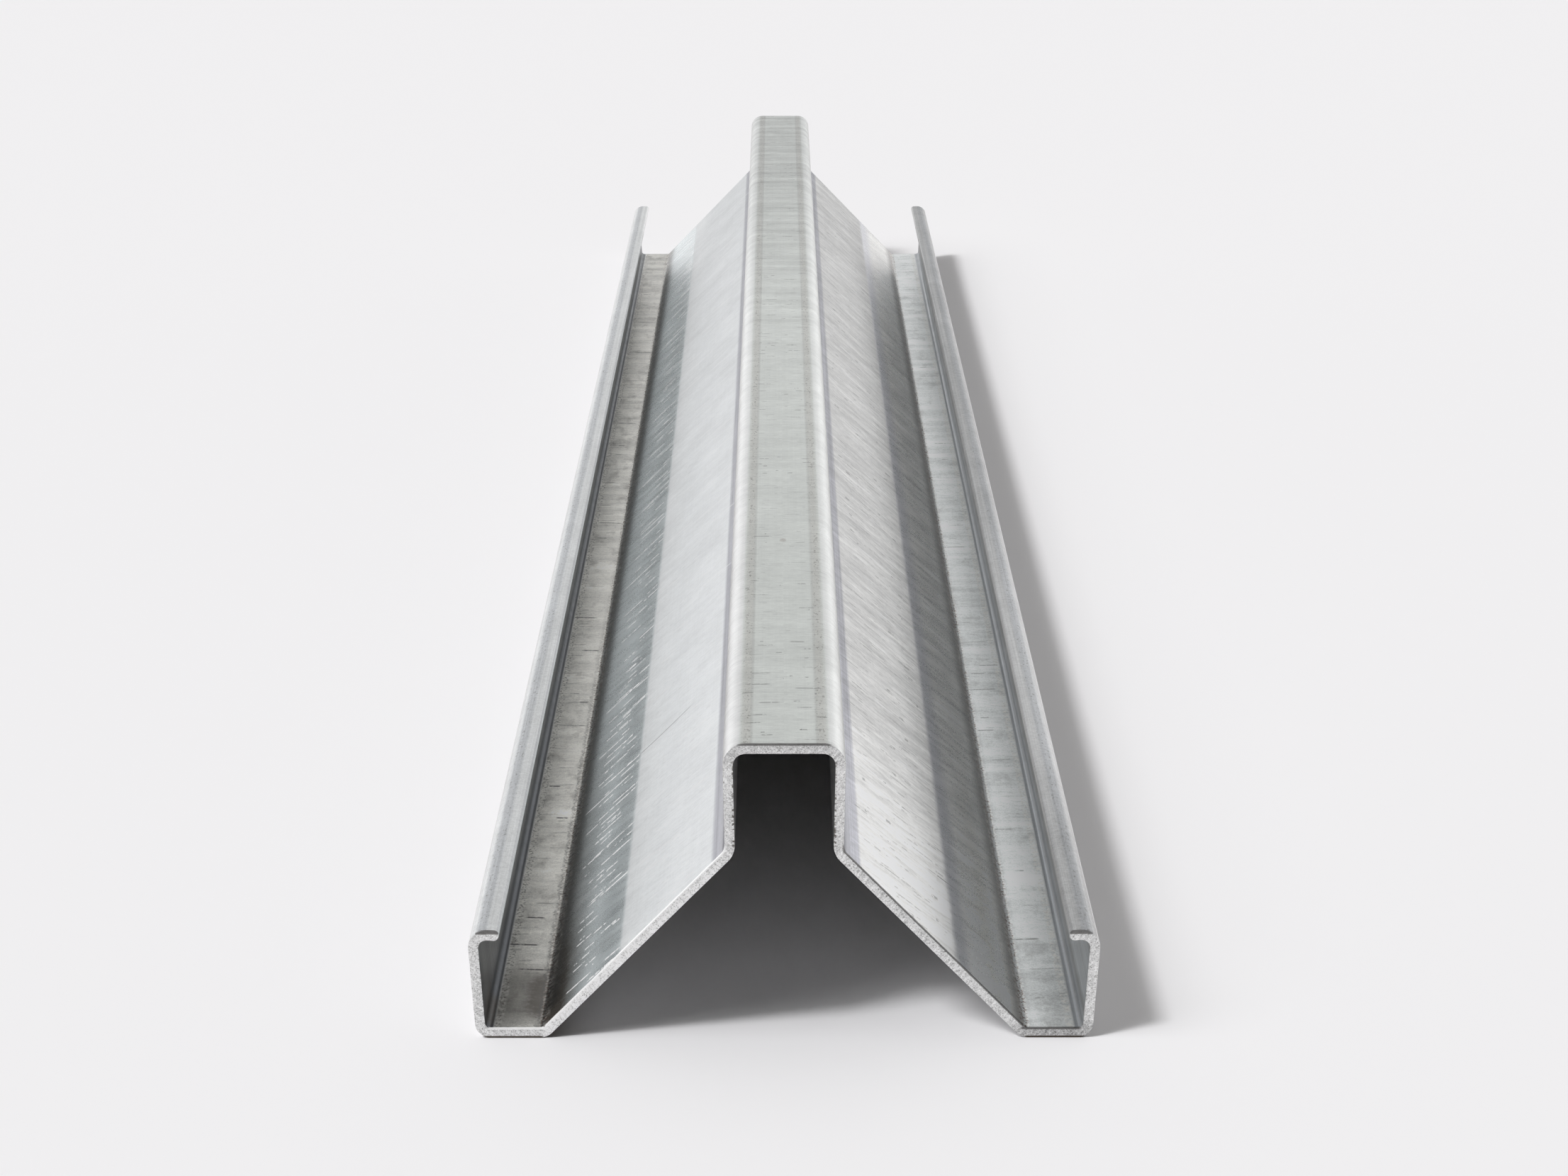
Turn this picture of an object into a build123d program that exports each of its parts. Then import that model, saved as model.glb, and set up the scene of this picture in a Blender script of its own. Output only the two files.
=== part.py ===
from build123d import *
import math
import os

# Ceiling profile: one short length of cold-rolled, galvanised steel strip.
# Millimetres. X runs across the section, Y along the length, Z up from the floor it lies on.
# The section is the same on both sides of X = 0, and the length is centred on Y = 0.

# Driving sizes of the strip and of the cut length
sheet_thickness = 1.0
length = 400.0

# Driving sizes of the rolled section, outside to outside
overall_width = 60.0
overall_height = 29.6
ridge_width = 11.6
slot_depth = 10.0        # inside the ridge, from its ceiling down to the bend of the slope
ridge_pinch = 1.0        # degrees, each ridge leg leans in towards the slot's mouth
foot_width = 6.8
side_height = 11.1
side_lean = 3.5          # degrees, each side wall opens outwards, as sprung back after rolling
lip_width = 3.0          # from the side wall's outermost point to the lip's rounded edge
lip_droop = 4.0          # degrees, the lip tips down towards its free edge

# Inside radii of the bends
ridge_top_radius = 1.15
ridge_foot_radius = 0.9
slope_foot_radius = 0.5
side_foot_radius = 0.5
lip_radius = 0.8


def lip_corner_overshoot():
    """How far the sharp corner of side and lip stands outside the widest point of its rounded bend."""
    lean = math.radians(side_lean)
    droop = math.radians(lip_droop)
    radius = lip_radius + sheet_thickness
    rise = radius * (1 / math.cos(droop) + math.tan(droop))
    reach = radius * (1 / math.cos(lean) - 1) + rise * math.tan(lean)
    return reach / (1 - math.tan(lean) * math.tan(droop))


def underside_half():
    """Corners of the strip's lower side, on the +X half, from the ridge out to where the lip rounds off."""
    pinch = math.tan(math.radians(ridge_pinch))
    lean = math.tan(math.radians(side_lean))
    droop = math.tan(math.radians(lip_droop))
    slot_half = ridge_width / 2 - sheet_thickness
    slot_ceiling = overall_height - sheet_thickness
    lip_corner = overall_width / 2 + lip_corner_overshoot()
    foot_outside = lip_corner - side_height * lean
    lip_edge = overall_width / 2 - lip_width + sheet_thickness / 2
    return [
        (slot_half, slot_ceiling),
        (slot_half - slot_depth * pinch, slot_ceiling - slot_depth),
        (foot_outside - foot_width, 0),
        (foot_outside, 0),
        (lip_corner, side_height),
        (lip_edge, side_height - (lip_corner - lip_edge) * droop),
    ]


def mirrored(half):
    """The half's corners repeated on the -X side, in one run from the left lip to the right lip."""
    return [(-x, z) for x, z in reversed(half)] + half


def offset_corners(corners, distance):
    """The same run of corners moved sideways by one distance, with its corners mitred."""
    normals = []
    for (x0, z0), (x1, z1) in zip(corners, corners[1:]):
        run = math.hypot(x1 - x0, z1 - z0)
        normals.append(((z0 - z1) / run, (x1 - x0) / run))
    moved = []
    for index, (x, z) in enumerate(corners):
        before = normals[max(index - 1, 0)]
        after = normals[min(index, len(normals) - 1)]
        share = distance / (1 + before[0] * after[0] + before[1] * after[1])
        moved.append((x + share * (before[0] + after[0]), z + share * (before[1] + after[1])))
    return moved


def bend_radii(upper_side):
    """Radius of every bend on one side of the strip: the inside radius, or that plus the thickness."""
    half = [
        (ridge_top_radius, upper_side),
        (ridge_foot_radius, not upper_side),
        (slope_foot_radius, not upper_side),
        (side_foot_radius, not upper_side),
        (lip_radius, not upper_side),
    ]
    half = [inside + (sheet_thickness if convex else 0) for inside, convex in half]
    return list(reversed(half)) + half


def section_face():
    """The strip's whole section: two rounded sides, joined by a half-round edge at each lip."""
    lower = mirrored(underside_half())
    upper = offset_corners(lower, sheet_thickness)
    lower_side = FilletPolyline(*lower, radius=bend_radii(False))
    upper_side = FilletPolyline(*upper, radius=bend_radii(True))
    tips = []
    for (x0, z0), (x1, z1) in ((lower[0], upper[0]), (lower[-1], upper[-1])):
        outward = math.copysign(1, -x0)
        middle = ((x0 + x1) / 2 + outward * sheet_thickness / 2, (z0 + z1) / 2)
        tips.append(ThreePointArc((x0, z0), middle, (x1, z1)))
    outline = lower_side.edges() + upper_side.edges() + tips
    return make_face(outline)


def ceiling_profile():
    """The section run along the length."""
    section = Plane.XZ.offset(-length / 2) * section_face()
    return extrude(section, amount=length)


os.makedirs("parts", exist_ok=True)
profile = ceiling_profile()
export_step(profile, "parts/ceiling_profile.step")

box = profile.bounding_box()
print("size", [round(value, 3) for value in (box.size.X, box.size.Y, box.size.Z)])
print("lowest corner", [round(value, 3) for value in (box.min.X, box.min.Y, box.min.Z)])
print("volume in cm3", round(profile.volume / 1000, 3), "valid", profile.is_valid)
print("section area", round(profile.volume / length, 3), "solids", len(profile.solids()))
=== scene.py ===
import bpy
import math
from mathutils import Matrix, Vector


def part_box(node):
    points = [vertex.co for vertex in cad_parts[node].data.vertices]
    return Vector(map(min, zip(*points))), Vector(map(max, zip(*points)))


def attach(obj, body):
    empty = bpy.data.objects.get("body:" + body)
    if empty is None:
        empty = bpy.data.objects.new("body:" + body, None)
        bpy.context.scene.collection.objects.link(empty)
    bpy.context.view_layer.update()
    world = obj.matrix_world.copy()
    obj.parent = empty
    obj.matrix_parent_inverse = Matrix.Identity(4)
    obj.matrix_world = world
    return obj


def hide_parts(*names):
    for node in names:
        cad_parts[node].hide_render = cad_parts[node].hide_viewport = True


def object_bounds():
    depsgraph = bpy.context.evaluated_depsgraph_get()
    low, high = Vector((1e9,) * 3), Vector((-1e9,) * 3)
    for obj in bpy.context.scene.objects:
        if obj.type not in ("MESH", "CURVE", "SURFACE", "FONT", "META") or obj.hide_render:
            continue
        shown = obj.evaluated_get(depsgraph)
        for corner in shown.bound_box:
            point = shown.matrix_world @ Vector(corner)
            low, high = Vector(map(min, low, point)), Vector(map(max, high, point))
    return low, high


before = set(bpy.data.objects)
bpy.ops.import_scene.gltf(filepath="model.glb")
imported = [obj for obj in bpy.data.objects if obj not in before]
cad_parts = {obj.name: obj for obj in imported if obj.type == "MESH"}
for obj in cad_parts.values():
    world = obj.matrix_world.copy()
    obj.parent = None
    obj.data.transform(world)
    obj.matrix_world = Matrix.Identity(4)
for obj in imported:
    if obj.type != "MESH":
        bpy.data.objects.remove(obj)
cad_low, cad_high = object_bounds()
mm = 0.001

# Camera.
# It stands in front of the near sawn end, above it, and looks down along the length, as the photograph does.
picture_width = 2212
focal_in_pixels = 4861
sensor_width = 36.0
camera_aside = -0.65 * mm
camera_ahead = 304.3 * mm
camera_above = 132.8 * mm
camera_pitch = math.radians(90 - 16.14)
camera_turn = math.radians(-0.119)
nearest_seen = 0.01

camera_data = bpy.data.cameras.new("camera")
camera_data.sensor_width = sensor_width
camera_data.sensor_fit = "HORIZONTAL"
camera_data.lens = sensor_width * focal_in_pixels / picture_width
camera_data.clip_start = nearest_seen
camera = bpy.data.objects.new("camera", camera_data)
camera.location = (camera_aside, cad_low[1] - camera_ahead, camera_above)
camera.rotation_euler = (camera_pitch, 0, camera_turn)
bpy.context.scene.collection.objects.link(camera)
bpy.context.scene.camera = camera
bpy.context.scene.view_settings.view_transform = "Standard"

# Floor and studio.
# The profile lies on a plain pale sheet, large enough to reach past the picture on every side,
# in a white studio that is brightest behind the object and dimmer overhead and in front.
floor_size = 6.0
floor_colour = (0.90, 0.895, 0.912, 1)

bpy.ops.object.select_all(action="DESELECT")
bpy.ops.mesh.primitive_plane_add(size=floor_size)
floor = bpy.context.active_object
floor.name = "floor"


class Wire:
    """One output of a shader node. Sums and products of wires add their Math nodes."""

    seed_step = (17.3, 9.1, 5.7)
    noise_roughness = 0.6

    def __init__(self, tree, socket=None):
        self.tree = tree
        self.socket = socket

    def node(self, kind, settings, inputs, output=0):
        """Any node: its settings first, then the values or wires of its sockets, by identifier."""
        made = self.tree.nodes.new(kind)
        for name, value in settings.items():
            setattr(made, name, value)
        sockets = {socket.identifier: socket for socket in made.inputs}
        for name, value in inputs.items():
            if isinstance(value, Wire):
                self.tree.links.new(value.socket, sockets[name])
            else:
                sockets[name].default_value = value
        return Wire(self.tree, made.outputs[output] if made.outputs else None)

    def maths(self, operation, first, second=0.0):
        return self.node("ShaderNodeMath", {"operation": operation}, {"Value": first, "Value_001": second})

    def __add__(self, other):
        return self.maths("ADD", self, other)

    def __radd__(self, other):
        return self.maths("ADD", other, self)

    def __sub__(self, other):
        return self.maths("SUBTRACT", self, other)

    def __rsub__(self, other):
        return self.maths("SUBTRACT", other, self)

    def __mul__(self, other):
        return self.maths("MULTIPLY", self, other)

    def __rmul__(self, other):
        return self.maths("MULTIPLY", other, self)

    def __truediv__(self, other):
        return self.maths("DIVIDE", self, other)

    def __abs__(self):
        return self.maths("ABSOLUTE", self)

    def whole(self):
        return self.maths("FLOOR", self)

    def larger(self, other):
        return self.maths("MAXIMUM", self, other)

    def fade(self, start, end):
        """0 up to start, 1 from end on, and smooth between them. The start may be the higher one."""
        settings = {"interpolation_type": "SMOOTHSTEP"}
        return self.node("ShaderNodeMapRange", settings, {"Value": self, "From Min": start, "From Max": end})

    def step(self, middle, soft):
        """0 below the middle and 1 above it, with a border that is soft on both sides."""
        return self.fade(middle - soft, middle + soft)

    def between(self, low, high, soft):
        """1 from low to high, with soft sides."""
        return self.step(low, soft) * self.step(high, -soft)

    def part(self, axis):
        """One of the three numbers of a vector or a colour."""
        return self.node("ShaderNodeSeparateXYZ", {}, {"Vector": self}, axis)

    def joined(self, x, y, z):
        """A vector of three numbers, each on a wire or plain."""
        return self.node("ShaderNodeCombineXYZ", {}, {"X": x, "Y": y, "Z": z})

    def stretched(self, x, y, z):
        inputs = {"Vector": self, "Vector_001": (x, y, z)}
        return self.node("ShaderNodeVectorMath", {"operation": "MULTIPLY"}, inputs)

    def noise(self, detail, seed):
        """Cloudy noise between about 0.2 and 0.8, with features about one unit wide."""
        apart = [seed * step for step in self.seed_step]
        moved = self.node("ShaderNodeVectorMath", {"operation": "ADD"}, {"Vector": self, "Vector_001": apart})
        inputs = {"Vector": moved, "Scale": 1.0, "Detail": detail, "Roughness": self.noise_roughness}
        return self.node("ShaderNodeTexNoise", {"noise_dimensions": "3D"}, inputs)

    def blend(self, first, second):
        """The first colour where this is 0, the second where it is 1."""
        inputs = {"Factor_Float": self, "A_Color": first, "B_Color": second}
        return self.node("ShaderNodeMix", {"data_type": "RGBA"}, inputs, 2)

    def over(self, colour, cover):
        """This colour, with another laid over it where cover is 1."""
        return cover.blend(self, colour)

    def tint(self, colour):
        """A colour, plain or on a wire, made brighter or darker by this amount."""
        vector = colour if isinstance(colour, Wire) else colour[:3]
        return self.node("ShaderNodeVectorMath", {"operation": "SCALE"}, {"Vector": vector, "Scale": self})


def blank_material(name):
    """A new material with no nodes, and a wire to start from: the place on the object."""
    material = bpy.data.materials.new(name)
    material.use_nodes = True
    material.node_tree.nodes.clear()
    return material, Wire(material.node_tree).node("ShaderNodeTexCoord", {}, {}, "Object")


pale_floor, place = blank_material("pale_floor")
matt = place.node("ShaderNodeBsdfDiffuse", {}, {"Color": floor_colour})
matt.node("ShaderNodeOutputMaterial", {}, {"Surface": matt})
floor.data.materials.append(pale_floor)

# Strengths of the studio: what the metal mirrors, what lights it, and what the camera sees behind it.
# The last two pairs say between which directions the backdrop gives way to what is overhead and in front.
backdrop_strength = 1.3
overhead_strength = 0.66
front_share_seen = 0.6
front_share_fill = 0.08
fill_share = 0.8
camera_strength = 0.94
fill_colour = (1.0, 0.985, 0.965, 1)
seen_colour = (0.985, 0.99, 1.0, 1)
backdrop_top = (0.02, 0.3)
front_border = (0.4, -0.7)

studio = bpy.data.worlds.new("studio")
studio.use_nodes = True
studio.node_tree.nodes.clear()
bpy.context.scene.world = studio
outlook = Wire(studio.node_tree).node("ShaderNodeTexCoord", {}, {}, "Generated")
is_camera = outlook.node("ShaderNodeLightPath", {}, {}, "Is Camera Ray")
is_glossy = outlook.node("ShaderNodeLightPath", {}, {}, "Is Glossy Ray")
overhead = outlook.part("Z").fade(*backdrop_top)
in_front = outlook.part("Y").fade(*front_border)
wall_light = backdrop_strength - (backdrop_strength - overhead_strength) * overhead
seen = wall_light * (1 - (1 - front_share_seen) * in_front)
fill = wall_light * fill_share * (1 - (1 - front_share_fill) * in_front)
strength = fill + is_glossy * (seen - fill)
strength = strength + is_camera * (camera_strength - strength)
colour = (is_glossy + is_camera).blend(fill_colour, seen_colour)
glow = outlook.node("ShaderNodeBackground", {}, {"Color": colour, "Strength": strength})
glow.node("ShaderNodeOutputWorld", {}, {"Surface": glow})

# Key light.
# One soft box at the left, a little in front and high: a hot middle and a wide, weaker surround.
# The metal is lit by both and mirrors neither, so that no side of it burns out to white.
lamps = {
    "key_middle": {"direction": (-0.68, -0.38, 1.0), "spread": 10, "energy": 1.5},
    "key_surround": {"direction": (-0.92, -0.38, 1.0), "spread": 38, "energy": 1.15},
}
for name, light in lamps.items():
    lamp_data = bpy.data.lights.new(name, "SUN")
    lamp_data.energy = light["energy"]
    lamp_data.angle = math.radians(light["spread"])
    lamp = bpy.data.objects.new(name, lamp_data)
    lamp.rotation_euler = Vector(light["direction"]).to_track_quat("Z", "Y").to_euler()
    lamp.visible_glossy = False
    bpy.context.scene.collection.objects.link(lamp)

# The profile.
# One length of galvanised steel strip, 1 mm thick, rolled to its section: a flat ridge with a slot
# under it, two slopes, two feet that lie on the floor, two side walls, and a small turned-in lip on each.
# It is all one piece, with no joint, and was sawn square at both ends.
sheet_thickness = 1.0 * mm
ridge_width = 11.6 * mm
slot_depth = 10.0 * mm
ridge_pinch = math.radians(1.0)
foot_width = 6.8 * mm
side_height = 11.1 * mm
side_lean = math.radians(3.5)
lip_width = 3.0 * mm
lip_droop = math.radians(4.0)
ridge_top_radius = 1.15 * mm
ridge_foot_radius = 0.9 * mm
foot_radius = 0.5 * mm
lip_radius = 0.8 * mm

low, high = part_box("ceiling_profile")
overall_width = high.x - low.x
overall_height = high.z - low.z
front_end = low.y
back_end = high.y

# Corners of the strip's lower side, from the ridge out to the lip's edge
outer_radius = lip_radius + sheet_thickness
corner_rise = outer_radius * (1 / math.cos(lip_droop) + math.tan(lip_droop))
corner_reach = outer_radius * (1 / math.cos(side_lean) - 1) + corner_rise * math.tan(side_lean)
corner_reach = corner_reach / (1 - math.tan(side_lean) * math.tan(lip_droop))
slot_half = ridge_width / 2 - sheet_thickness
slot_ceiling = overall_height - sheet_thickness
lip_corner = overall_width / 2 + corner_reach
foot_outside = lip_corner - side_height * math.tan(side_lean)
foot_inside = foot_outside - foot_width
lip_edge = overall_width / 2 - lip_width
corners = [
    (slot_half, slot_ceiling),
    (slot_half - slot_depth * math.tan(ridge_pinch), slot_ceiling - slot_depth),
    (foot_inside, 0),
    (foot_outside, 0),
    (lip_corner, side_height),
    (lip_edge, side_height - (lip_corner - lip_edge) * math.tan(lip_droop)),
]


def pick_edges(piece, wanted):
    """Only the edges whose two ends pass the test are selected, in edit mode."""
    bpy.ops.object.mode_set(mode="EDIT")
    bpy.ops.mesh.select_mode(type="EDGE")
    bpy.ops.mesh.select_all(action="DESELECT")
    bpy.ops.object.mode_set(mode="OBJECT")
    places = [vertex.co for vertex in piece.data.vertices]
    for edge in piece.data.edges:
        first, second = edge.vertices
        edge.select = bool(wanted(places[first], places[second]))
    bpy.ops.object.mode_set(mode="EDIT")


def near(value, target):
    """The two lengths are the same, apart from rounding."""
    return abs(value - target) < 0.005 * mm


# Flat strip for half the ridge's ceiling, cut into rows along the length, closer together at the ends
row_length = 8 * mm
rows_near_ends = (0.4 * mm, 1.2 * mm, 3.0 * mm)
rows = round((back_end - front_end) / row_length)
bpy.ops.object.select_all(action="DESELECT")
bpy.ops.mesh.primitive_plane_add(size=1)
strip = bpy.context.active_object
strip.name = "rolled_strip"
bpy.ops.object.mode_set(mode="EDIT")
bpy.ops.transform.resize(value=(slot_half, back_end - front_end, 1))
bpy.ops.transform.translate(value=(slot_half / 2, (front_end + back_end) / 2, slot_ceiling))
pick_edges(strip, lambda a, b: near(a.x, b.x))
bpy.ops.mesh.subdivide(number_cuts=rows - 1)
for distance in rows_near_ends:
    for row in (front_end + distance, back_end - distance):
        bpy.ops.mesh.select_all(action="SELECT")
        bpy.ops.mesh.bisect(plane_co=(0, row, 0), plane_no=(0, 1, 0))

# The strip's edge pulled out from corner to corner
pick_edges(strip, lambda a, b: near(a.x, slot_half) and near(b.x, slot_half))
x_before, z_before = corners[0]
for x, z in corners[1:]:
    step = (x - x_before, 0, z - z_before)
    bpy.ops.mesh.extrude_region_move(TRANSFORM_OT_translate={"value": step})
    x_before, z_before = x, z

# The bends, rounded on the strip's lower side: each by its inside radius, or by that and the thickness
radii = [ridge_top_radius, ridge_foot_radius + sheet_thickness]
radii += [foot_radius + sheet_thickness, foot_radius + sheet_thickness, lip_radius + sheet_thickness]
headings = []
for (x0, z0), (x1, z1) in zip([(0, slot_ceiling)] + corners, corners):
    headings.append(math.atan2(z1 - z0, x1 - x0))
bend_cuts = 8
for index, radius in enumerate(radii):
    x, z = corners[index]
    turn = abs(math.remainder(headings[index + 1] - headings[index], math.tau))
    pick_edges(strip, lambda a, b: near(a.x, x) and near(b.x, x) and near(a.z, z) and near(b.z, z))
    bpy.ops.mesh.bevel(offset=radius * math.tan(turn / 2), offset_type="OFFSET", segments=bend_cuts,
                       profile=0.5, affect="EDGES", clamp_overlap=False)

# The flats between the bends, cut finer, so that the sawn edge can be uneven
flat_cut = 0.35 * mm
shortest_flat = 2.0 * mm
merge_distance = 0.001 * mm
bpy.ops.object.mode_set(mode="OBJECT")
places = [vertex.co for vertex in strip.data.vertices]
flats = set()
for edge in strip.data.edges:
    first, second = (places[end] for end in edge.vertices)
    width = (first - second).length
    if near(first.y, second.y) and width > shortest_flat:
        flats.add(round(width / mm, 2))
for flat in sorted(flats):
    pick_edges(strip, lambda a, b: near(a.y, b.y) and round((a - b).length / mm, 2) == flat)
    bpy.ops.mesh.subdivide(number_cuts=round(flat * mm / flat_cut))
bpy.ops.mesh.select_all(action="SELECT")
bpy.ops.mesh.remove_doubles(threshold=merge_distance)
bpy.ops.mesh.normals_make_consistent(inside=False)
bpy.ops.object.mode_set(mode="OBJECT")

# The other half, then the thickness of the sheet
mirror = strip.modifiers.new("other_half", "MIRROR")
mirror.merge_threshold = merge_distance
bpy.ops.object.modifier_apply(modifier=mirror.name)
thickness = strip.modifiers.new("sheet_thickness", "SOLIDIFY")
thickness.thickness = sheet_thickness
thickness.offset = -1
thickness.use_even_offset = True
bpy.ops.object.modifier_apply(modifier=thickness.name)

# The lips' free edges, half round
lip_top = corners[-1][1]
lip_under = lip_top - sheet_thickness * math.cos(lip_droop)
edge_search = 0.15 * mm
edge_rounding = 0.49
edge_cuts = 6


def on_lip_edge(a, b):
    """One of the two long edges along a lip's free side."""
    at_edge = abs(abs(a.x) - lip_edge) < edge_search and abs(abs(b.x) - lip_edge) < edge_search
    level = near(a.z, b.z) and not near(a.y, b.y)
    return at_edge and level and (near(a.z, lip_top) or near(a.z, lip_under))


pick_edges(strip, on_lip_edge)
bpy.ops.mesh.bevel(offset=sheet_thickness * edge_rounding, offset_type="OFFSET", segments=edge_cuts,
                   profile=0.5, affect="EDGES", clamp_overlap=False)

# The sawn ends: a narrow bevel all round, left a little uneven
end_bevel = 0.1 * mm
unevenness = 0.025 * mm
end_facing = 0.9
smooth_up_to = math.radians(30)
bpy.ops.object.mode_set(mode="EDIT")
bpy.ops.mesh.select_mode(type="FACE")
bpy.ops.mesh.select_all(action="DESELECT")
bpy.ops.object.mode_set(mode="OBJECT")
for face in strip.data.polygons:
    face.select = abs(face.normal.y) > end_facing
bpy.ops.object.mode_set(mode="EDIT")
bpy.ops.mesh.region_to_loop()
bpy.ops.mesh.bevel(offset=end_bevel, offset_type="OFFSET", segments=2, profile=0.5, affect="EDGES",
                   clamp_overlap=False)
bpy.ops.mesh.select_mode(type="VERT")
bpy.ops.mesh.select_all(action="DESELECT")
bpy.ops.object.mode_set(mode="OBJECT")
for vertex in strip.data.vertices:
    from_end = min(vertex.co.y - front_end, back_end - vertex.co.y)
    vertex.select = near(from_end, end_bevel)
bpy.ops.object.mode_set(mode="EDIT")
bpy.ops.transform.shrink_fatten(value=-unevenness)
bpy.ops.transform.vertex_random(offset=unevenness, seed=5)
bpy.ops.object.mode_set(mode="OBJECT")
bpy.ops.object.select_all(action="DESELECT")
strip.select_set(True)
bpy.ops.object.shade_smooth_by_angle(angle=smooth_up_to)

# Colours of the galvanised skin, with the light, shade, highlights and reflections painted on it. A pair is
# the left and the right of the ridge.
plain_steel = (0.80, 0.80, 0.79, 1)
ridge_flat = (0.74, 0.765, 0.73, 1)
bend_highlight = (0.84, 0.84, 0.83, 1)
ridge_seam = (0.56, 0.55, 0.51, 1)
leg_reflection = (0.50, 0.50, 0.535, 1)
slope_upper = [(0.87, 0.885, 0.89, 1), (0.80, 0.795, 0.78, 1)]
slope_lower = [(0.80, 0.86, 0.87, 1), (0.80, 0.79, 0.76, 1)]
slope_heel_shade = [(0.24, 0.235, 0.225, 1), (0.27, 0.255, 0.24, 1)]
foot_skin = [(0.86, 0.845, 0.79, 1), (0.92, 0.95, 0.94, 1)]
wall_inside_shade_and_light = [(0.13, 0.137, 0.148, 1), (0.44, 0.46, 0.48, 1)]
lip_skin = [(0.79, 0.80, 0.795, 1), (0.69, 0.69, 0.685, 1)]
lip_shade = (0.54, 0.555, 0.575, 1)
sawn_steel = (0.77, 0.77, 0.765, 1)
violet_tint = (0.50, 0.505, 0.56, 1)
warm_light = (0.86, 0.83, 0.75, 1)
chalk_white = (0.95, 0.93, 0.88, 1)
# Scratch colours: the white one is also a painted highlight on rims, the dark one painted shade on the walls
# and rims
white_scratch_and_highlight = (0.98, 0.98, 0.98, 1)
dark_scratch_and_shade = (0.15, 0.145, 0.14, 1)
# Stain: real dirt, and also painted shade in the corners, along the left heel and where the feet meet the
# floor
stain_and_shade = (0.09, 0.075, 0.06, 1)
rust_brown = (0.20, 0.11, 0.07, 1)

# Places on the profile, in millimetres: side is counted from the middle, z from the floor
galvanised_steel, place = blank_material("galvanised_steel")
spot = place.stretched(1 / mm, 1 / mm, 1 / mm)
x = spot.part("X")
y = spot.part("Y")
z = spot.part("Z")
side = abs(x)
is_right = x.step(0, 0.01)
is_left = 1 - is_right
from_front = y - front_end / mm
half_length = (back_end - front_end) / 2 / mm
top = overall_height / mm
flat_half = (slot_half - ridge_top_radius) / mm
foot_start = foot_inside / mm
foot_end = foot_outside / mm

# The ridge: its outer faces, then its rounded bends, where a highlight is painted, the worn seams beside
# them, and its legs, where a reflection of the ridge's side is painted
leg_middle = (slot_half + sheet_thickness / 2) / mm
ceiling_middle = (slot_ceiling + sheet_thickness / 2) / mm
corner_middle = 33.4
ridge_finish_low = 26.2
leg_reflection_low = 17.4
leg_reflection_edge = 6.8 + 0.6 * is_right
outside = side.fade(leg_middle - 0.15, leg_middle + 0.05).larger((side + z).step(corner_middle, 0.1))
on_ridge = z.step(ridge_finish_low, 0.2) * outside.larger(z.fade(ceiling_middle - 0.15, ceiling_middle))
on_ridge_bend = on_ridge * side.fade(flat_half + 0.35, flat_half + 0.75)
on_ridge_seam = on_ridge * side.between(flat_half - 0.55, flat_half + 0.35, 0.3)
on_leg = outside * (side - leg_reflection_edge).step(0, -0.2) * z.between(leg_reflection_low, ridge_finish_low, 0.2)

# The slopes' upper side, and the band of smoother finish along their foot, which drifts a little at the left
slope_angle = abs(headings[2])
slope_start = 6.2
slope_top = 19.15
slope_level = z + math.tan(slope_angle) * (side - foot_start)
upper_side = slope_level.fade(0.5, 0.9)
on_slope = side.between(slope_start, foot_start + 0.35, 0.15) * z.step(slope_top, -0.25) * upper_side
left_band_edge = 15.6 + from_front * 0.004
right_band_edge = 16.4
below_edge = side - (left_band_edge + is_right * (right_band_edge - left_band_edge))
border_blur = is_right * (0.2 + 0.2 * from_front.fade(70, 10))
on_lower_slope = on_slope * (below_edge * (1 - border_blur)).step(0, 0.25)
above_band = is_left * on_slope * below_edge.fade(-4.0, -0.2) * (1 - on_lower_slope)
deep_in_band = is_left * on_lower_slope * below_edge.fade(0.6, 3.5)
# The crease at each slope's foot, where shade is painted
on_heel_shade = on_slope * side.step(22.0, 0.7)

# The feet, the inner faces of the side walls with a corner strip of painted shade at their foot, and the lips
shaded_corner_start = 27.8
wall_finish_top = 9.8
lip_finish_low = 10.05
lip_finish_edge = 26.15
on_foot = side.between(foot_start + 0.35, foot_end - 1.75, 0.15) * z.between(0.5, 1.3, 0.1)
past_wall_middle = side - z * math.tan(side_lean) - (foot_end - 0.5)
on_wall = past_wall_middle.step(0, -0.15) * side.step(shaded_corner_start, 0.1)
on_wall = on_wall * z.between(0.9, wall_finish_top, 0.1)
on_lip = z.step(lip_finish_low, 0.15) * side.step(lip_finish_edge, 0.15)
lip_band = on_lip * side.between(28.2, 29.2, 0.25)

# The sawn faces, and the narrow rims where they meet the skin, on which highlight and shade are painted
past_slope_top = 19.6
slope_depth = slope_level * math.cos(slope_angle)
on_end = abs(y).fade(half_length - 0.095, half_length - 0.085)
at_end = abs(y).step(half_length - 0.3, 0.05)
on_slope_rim = side.between(5.5, foot_start + 0.2, 0.1) * z.step(past_slope_top, -0.2)
on_slope_rim = on_slope_rim * slope_depth.fade(0.84, 0.9) * at_end
on_foot_rim = side.between(foot_start, foot_end - 1.2, 0.1) * z.between(0.86, 1.1, 0.03) * at_end
on_contact_shadow = side.between(foot_start + 0.4, foot_end - 0.6, 0.2) * z.fade(0.26, 0.15) * at_end
on_top_rim = side.step(5.9, -0.1) * z.fade(top - 0.2, top - 0.12) * at_end
on_lip_rim = side.step(lip_finish_edge, 0.15) * z.step(10.6, 0.05) * at_end

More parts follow.
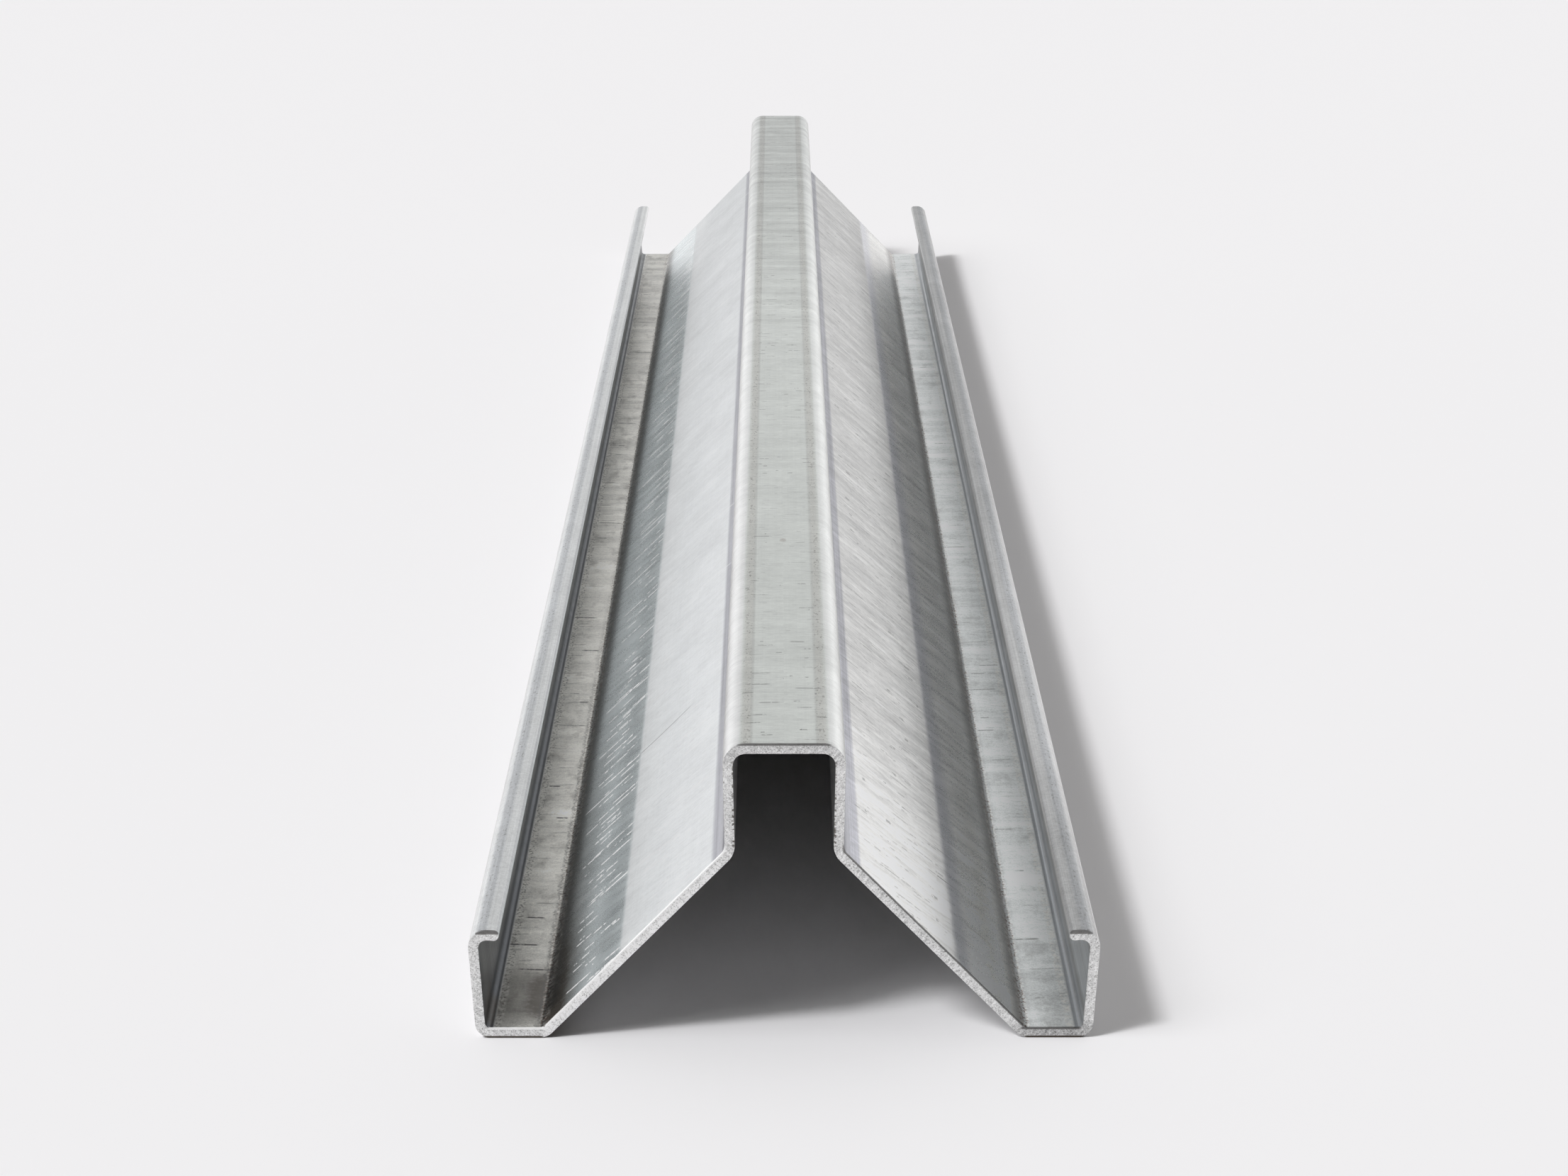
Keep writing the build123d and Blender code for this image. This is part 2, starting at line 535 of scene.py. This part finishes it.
# The skin's colours, laid over each other part by part
faded_far_off = 1 - 0.5 * from_front.fade(60, 330)
skin = on_ridge.blend(plain_steel, ridge_flat)
skin = skin.over(ridge_seam, on_ridge_seam * 0.6)
# A painted highlight on the ridge's bends, weaker on the right and towards the far end
skin = skin.over(bend_highlight, on_ridge_bend * faded_far_off * (1 - 0.4 * is_right))
skin = skin.over(is_right.blend(*slope_upper), on_slope)
skin = skin.over(is_right.blend(*slope_lower), on_lower_slope)
# Painted shade in the crease where each slope meets its foot
skin = skin.over(is_right.blend(*slope_heel_shade), on_heel_shade)
# A painted reflection of the ridge's dark side on its legs and the strip of slope beside them
skin = skin.over(leg_reflection, on_leg)
skin = skin.over(is_right.blend(*foot_skin), on_foot)
# The side walls' inner faces: painted shade on the left wall and painted light on the right one, carried onto
# the feet as a corner strip of painted shade
skin = skin.over(is_right.blend(*wall_inside_shade_and_light), on_wall)
# Painted shade on the walls just under the lips
under_lip_shade = z.step(8.8, 0.4)
# A dark band low on the right wall's inner face
right_wall_dark_band = is_right * z.between(2.3, 3.3, 0.5)
skin = skin.over(dark_scratch_and_shade, on_wall * (0.6 * under_lip_shade + 0.65 * right_wall_dark_band))
skin = skin.over(is_right.blend(*lip_skin), on_lip)
skin = skin.over(lip_shade, lip_band * 0.75)
# A painted highlight along each lip's free edge
skin = skin.over(bend_highlight, on_lip * side.step(27.2, -0.1) * 0.8)

# The rolls' marks run across the strip, and drift towards the far end as they go down the slopes
drift = y - 0.65 * side * on_slope


def marks(length, width, detail, seed):
    """Noise drawn out across the strip: its usual length and width in millimetres. The two sides differ."""
    return place.joined(side / length, drift / width, is_right * 30 + z * 0.02).noise(detail, seed) - 0.5


# The skin's patterns: grain, mottle and clouds from fine to broad, lines along the length, bands across it,
# and the rolls' marks in three sizes
grain = spot.stretched(6, 6, 6).noise(detail=3, seed=1) - 0.5
mottle = spot.stretched(1.6, 1.6, 1.6).noise(detail=3, seed=2) - 0.5
clouds = spot.stretched(0.16, 0.1, 0.16).noise(detail=2, seed=3) - 0.5
length_lines = spot.stretched(6, 0.02, 6).noise(detail=3, seed=4) - 0.5
cross_bands = spot.stretched(0.04, 0.3, 0.04).noise(detail=4, seed=31) - 0.5
fine_marks = marks(length=1.8, width=0.38, detail=3, seed=5)
broad_marks = marks(length=5.0, width=1.9, detail=3, seed=6)
soft_marks = marks(length=9.0, width=7.0, detail=2, seed=7)

# How strongly each pattern shows: a little all over, and more on the parts named beside it
streaky = on_slope * (0.13 + 0.87 * is_right)
far_ridge = on_ridge * from_front.fade(120, 320)
shade = 1 + grain * (0.22 + 0.6 * on_foot + 0.35 * on_ridge_seam + 0.3 * on_lip)
shade = shade + mottle * (0.18 + 0.3 * on_foot + 0.2 * on_lip + 0.2 * streaky)
shade = shade + clouds * 0.22
shade = shade + fine_marks * (0.12 + 0.62 * streaky + 0.3 * on_ridge)
shade = shade + broad_marks * (0.1 + 0.75 * streaky + 0.1 * on_lower_slope + 0.15 * on_foot)
shade = shade + soft_marks * (0.08 + 0.25 * streaky + 0.25 * on_lower_slope + 0.3 * on_foot)
shade = shade + cross_bands * (0.9 * on_foot + 0.3 * on_ridge + 0.5 * far_ridge)
shade = shade + length_lines * (0.1 + 1.1 * on_wall + 0.9 * on_leg + 0.5 * on_lip)

# How each part darkens or brightens along the length; near the front the feet are darkened with painted shade
shade = shade - 0.22 * on_ridge * from_front.fade(180, 330)
shade = shade - 0.12 * on_foot * is_left * from_front.fade(150, 260)
# Painted shade on the feet near the front, more on the left
shade = shade - on_foot * from_front.fade(40, 5) * (0.12 + 0.1 * is_left)
shade = shade + on_slope * (0.07 - from_front * 0.0004)
shade = shade + on_slope * is_right * (0.3 * from_front.fade(60, 10) - 0.1)
shade = shade + on_lower_slope * is_right * 0.12
shade = shade - on_lip * is_right * (0.08 + 0.3 * from_front.fade(90, 190) + 0.24 * from_front.fade(60, 12))
# The left band is darker near its border: a painted reflection that sharpens the band's real one
shade = shade - 0.13 * (is_left * on_lower_slope - deep_in_band)
skin = shade.tint(skin)

# On the right slope: a violet tint just below the border of the two finishes, and a warm, light streak
# lower down that fades out along the length
violet = on_lower_slope * is_right * below_edge.fade(2.2, 0.6)
skin = skin.over(violet_tint, violet * 0.7)
streak_middle = 20.2 + soft_marks * 3
warm_streak = on_lower_slope * is_right * (side - streak_middle).between(-0.5, 0.5, 0.6)
skin = skin.over(warm_light, warm_streak * from_front.fade(90, 20) * 0.45)

# Dirt and painted shade: soft smudges of dirt on the feet, and black painted shade in the front left corners,
# along the left slope's heel and on the left foot near the front
smudges = spot.stretched(0.5, 0.22, 0.5).noise(detail=4, seed=27).fade(0.48, 0.74)
skin = skin.over(stain_and_shade, smudges * on_foot * (0.42 - 0.2 * is_right))
heel_shade = is_left * side.fade(18.4, 22.3) * side.step(23.3, -0.4) * from_front.fade(110, 6)
skin = skin.over(stain_and_shade, heel_shade * (0.75 + mottle * 0.5 + 0.4 * from_front.fade(30, 8)))
heel_corner = from_front.between(3.0, 13.0, 3.0) * side.fade(26.5, 23.6) * side.fade(20.8, 22.6) * 1.3
wall_corner = from_front.between(0.5, 8.0, 2.5) * side.between(27.7, 28.9, 0.4) * z.fade(4.0, 2.5)
corner_shade = is_left * (heel_corner + wall_corner)
skin = skin.over(stain_and_shade, (corner_shade * (0.8 + mottle)).fade(0.1, 0.9) * upper_side * 0.75)
foot_shade = is_left * on_foot * from_front.between(2.0, 15.0, 2.5)
skin = skin.over(stain_and_shade, foot_shade * (0.5 + mottle * 0.6))

# Chalky lines with freckles along both bends of each foot, redder at the slopes' heels
heel_line = side.between(foot_start - 0.1, foot_start + 0.8, 0.2) * z.fade(2.4, 1.8) * upper_side
wall_line = side.between(26.95, 27.7, 0.15) * z.between(0.9, 2.2, 0.2)
freckles = spot.stretched(3.4, 2.2, 3.4).noise(detail=3, seed=8).fade(0.51, 0.6)
chalk = (heel_line + wall_line * (1 + 0.5 * is_right)) * (0.5 + mottle * 2).fade(0.2, 0.9)
rusty = 0.35 + 0.5 * (mottle + clouds + 0.5).fade(0.35, 0.6)
skin = skin.over(chalk_white, chalk * 0.6)
skin = skin.over(rust_brown, freckles * heel_line * rusty)
skin = skin.over(stain_and_shade, freckles * (wall_line * (0.7 - 0.5 * is_right) + heel_line * is_left * 0.4))
pits = spot.stretched(4.2, 1.5, 4.2).noise(detail=2, seed=9).fade(0.58, 0.68)
skin = skin.over(stain_and_shade, pits * (lip_band + on_ridge_seam) * 0.5)


def scratches(across, pitch, reach, width, lean, cover, seed):
    """Thin straight scratches across the strip, at most one to each pitch of length. 1 on a scratch."""
    jitter = 0.75
    shortest = 0.25
    cell = (from_front / pitch + is_right * 0.5).whole()
    draw = place.node("ShaderNodeTexWhiteNoise", {"noise_dimensions": "3D"},
                      {"Vector": place.joined(cell, is_right, seed)}, "Color")
    middle = cover[0] + (cover[1] - cover[0]) * draw.part("Y")
    offset = across - middle
    centre = (cell + 0.5 - is_right * 0.5 + jitter * (draw.part("X") - 0.5)) * pitch
    line = abs(from_front - centre - offset * lean)
    half = reach * (shortest + (1 - shortest) * draw.part("Z"))
    return line.fade(width, width * 0.4) * (abs(offset) / half).fade(1.0, 0.6)


# White scratches in the left slope's lower band, closer together near the front, with faint smears
broken = spot.stretched(1.6, 1.0, 1.6).noise(detail=2, seed=10).fade(0.4, 0.5)
on_left_band = on_lower_slope * is_left
long_cut = scratches(side, pitch=8.7, reach=3.2, width=0.25, lean=0.25, cover=(16.4, 19.8), seed=11)
short_cut = scratches(side, pitch=6.1, reach=2.0, width=0.24, lean=0.35, cover=(16.2, 19.6), seed=12)
near_cut = scratches(side, pitch=3.3, reach=1.8, width=0.25, lean=0.3, cover=(16.4, 20.0), seed=32)
tiny_cut = scratches(side, pitch=5.3, reach=1.1, width=0.2, lean=0.15, cover=(16.5, 20.8), seed=13)
short_cut = short_cut + near_cut * from_front.fade(130, 70) + tiny_cut
smear = scratches(side, pitch=8.3, reach=2.8, width=1.3, lean=-0.4, cover=(17.0, 20.0), seed=28)
skin = skin.over(white_scratch_and_highlight, smear * (0.6 + mottle * 2) * on_left_band * 0.16)
white_cut = (long_cut * (0.3 + 0.7 * broken) + short_cut * broken).fade(0.1, 0.7) * on_left_band

# One long scratch right down the left slope, a little curved: dark at the top, white lower down
long_line_start = 58.4
long_line_bow = 0.027
below_start = side - 11.0
long_line = abs(from_front - long_line_start - below_start * below_start * long_line_bow).fade(0.22, 0.1)
long_line = long_line * is_left * on_slope * side.between(10.2, 20.2, 0.7)
white_cut = white_cut.larger(long_line * on_lower_slope * (0.4 + 0.6 * broken))
skin = skin.over(white_scratch_and_highlight, white_cut)
skin = skin.over(dark_scratch_and_shade, long_line * (1 - on_lower_slope) * 0.5)

# Pale and dark cuts and flecks on the slopes, most of them on the right one
pale_cut = scratches(side, pitch=9.0, reach=3.0, width=0.5, lean=0.65, cover=(8.0, 15.0), seed=14)
skin = skin.over(white_scratch_and_highlight, pale_cut * on_slope * 0.4)
fleck = scratches(side, pitch=2.3, reach=0.8, width=0.26, lean=0.75, cover=(7.5, 15.8), seed=15) * 0.7
fleck = fleck + scratches(side, pitch=5.9, reach=0.45, width=0.5, lean=0.9, cover=(8.0, 15.8), seed=16)
fleck = fleck + scratches(side, pitch=1.3, reach=0.35, width=0.2, lean=0.6, cover=(8.0, 15.8), seed=29) * 0.6
thin_cut = scratches(side, pitch=4.3, reach=1.8, width=0.2, lean=0.6, cover=(7.5, 21.0), seed=17)
thin_cut = thin_cut + scratches(side, pitch=6.1, reach=2.8, width=0.18, lean=0.7, cover=(8.0, 20.0), seed=18)
dark_cut = (fleck * 0.5 + thin_cut * 0.4) * broken * on_slope * (0.15 + 0.85 * is_right)

# Short cuts across the ridge's top, in groups, and two faint lines along it
groups = spot.stretched(0.02, 0.11, 0.02).noise(detail=1, seed=26).fade(0.48, 0.58)
top_line_side = 3.1
top_cut = scratches(x, pitch=3.4, reach=1.4, width=0.22, lean=0.05, cover=(-3.6, -1.4), seed=19)
top_cut = top_cut + scratches(x, pitch=4.1, reach=1.6, width=0.22, lean=-0.04, cover=(1.2, 3.7), seed=20)
top_cut = top_cut + scratches(x, pitch=2.3, reach=0.4, width=0.25, lean=0.15, cover=(-4.0, 4.0), seed=21)
top_line = on_ridge * abs(side - top_line_side).fade(0.22, 0.05)
dark_cut = dark_cut + top_cut * broken * on_ridge * (0.2 + 0.35 * groups)
dark_cut = dark_cut + top_line * (0.05 + 0.15 * (mottle + 0.5))

# Cuts across the feet, in the same groups, and a wavy line of dirt along each near its heel
foot_cut = scratches(side, pitch=7.9, reach=2.1, width=0.26, lean=0.08, cover=(24.4, 26.4), seed=22)
small_cut = scratches(side, pitch=3.1, reach=1.4, width=0.3, lean=-0.1, cover=(24.4, 27.6), seed=23)
foot_cut = foot_cut * (0.25 + 0.9 * groups) + small_cut * groups * 0.35
dirt_line_side = 23.6 + mottle * 1.3
dirt_line = abs(side - dirt_line_side).fade(0.25, 0.05) * on_foot * from_front.fade(190, 60)
dark_cut = dark_cut + foot_cut * on_foot * (0.45 + 0.55 * broken) * (1 - 0.5 * is_right)
dark_cut = dark_cut + dirt_line * (0.25 + 2 * grain + 0.3 * broken) * (1 - 0.7 * is_right)
skin = skin.over(dark_scratch_and_shade, dark_cut)

# The sawn faces: bare, gritty steel with the saw's lines. They are lighter on the left slope, darker at the
# ridge's top and on the right foot, and have small dark notches along the slot.
grit = spot.stretched(8, 8, 8).noise(detail=4, seed=24)
saw_lines = place.joined((side + z) * 0.8, (side - z) * 3.2, is_right * 9).noise(detail=3, seed=25)
on_left_end = is_left * side.between(6.0, foot_start, 0.3) * z.step(18.5, -0.5)
on_right_foot_end = is_right * side.step(22.0, 1.0) * z.step(1.6, -0.4)
sawn_shade = 1.01 + 0.2 * on_left_end - 0.1 * z.fade(26.5, 28.0) - 0.3 * on_right_foot_end
sawn_shade = sawn_shade + (grit - 0.5) * 1.5 + (saw_lines - 0.5) * 0.9
notches = spot.stretched(1.2, 1.0, 3.4).noise(detail=3, seed=30).fade(0.5, 0.56)
along_slot = side.between(4.4, 4.9, 0.06) * z.between(19.3, 28.2, 0.4)
sawn = sawn_shade.tint(sawn_steel)
sawn = sawn.over(stain_and_shade, grit.fade(0.40, 0.30) * 0.65)
sawn = sawn.over(stain_and_shade, notches * along_slot * 0.85)
skin = skin.over(sawn, on_end)

# The rims of the sawn faces: a painted highlight on the left, painted shade on the right, on top and on the
# lips, and an almost black painted shadow where the feet meet the floor
highlight_rim = (on_slope_rim + on_foot_rim) * is_left
shade_rim = (on_slope_rim + on_foot_rim) * is_right + on_top_rim + on_lip_rim + on_contact_shadow
skin = skin.over(white_scratch_and_highlight, highlight_rim * 0.9)
skin = skin.over(dark_scratch_and_shade, shade_rim * 0.85)
skin = skin.over(stain_and_shade, on_contact_shadow * 0.9)

# A small round mark on the ridge
mark_place = 71.8
from_mark = from_front - mark_place
round_mark = (x * x * 4 + from_mark * from_mark).fade(0.8, 0.2) * on_ridge
skin = skin.over(rust_brown, round_mark * 0.3)

# How rough each part is
roughness = 0.36 - 0.17 * on_lower_slope + 0.1 * on_slope + 0.04 * on_foot - 0.04 * on_ridge_bend
roughness = roughness + grain * 0.2 + broad_marks * 0.2 + on_end * 0.2

# Oxidised zinc scatters some light, most of it where it is scratched white or worn matt, and on the left
# rims' painted highlight
metal = 1 - (0.1 + 0.18 * is_left) * on_lower_slope - 0.27 * above_band - 0.14 * deep_in_band
metal = metal - (0.06 + 0.08 * is_right) * on_foot - 0.8 * highlight_rim
metal = metal * (1 - 0.85 * white_cut)

# Relief far too fine to model: the zinc's grain, the rolls' marks and the saw's lines
relief_height = 0.006 * mm
relief = grain * 0.6 + fine_marks * (0.1 + 0.6 * streaky) + mottle * 0.6
relief = relief + on_end * (grit + saw_lines - 1) * 4
surface = place.node("ShaderNodeBump", {}, {"Strength": 1.0, "Distance": relief_height, "Height": relief})
steel = place.node("ShaderNodeBsdfPrincipled", {}, {
    "Base Color": skin,
    "Metallic": metal,
    "Roughness": roughness,
    "Normal": surface,
})
steel.node("ShaderNodeOutputMaterial", {}, {"Surface": steel})
strip.data.materials.append(galvanised_steel)

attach(strip, "root")
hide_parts("ceiling_profile")
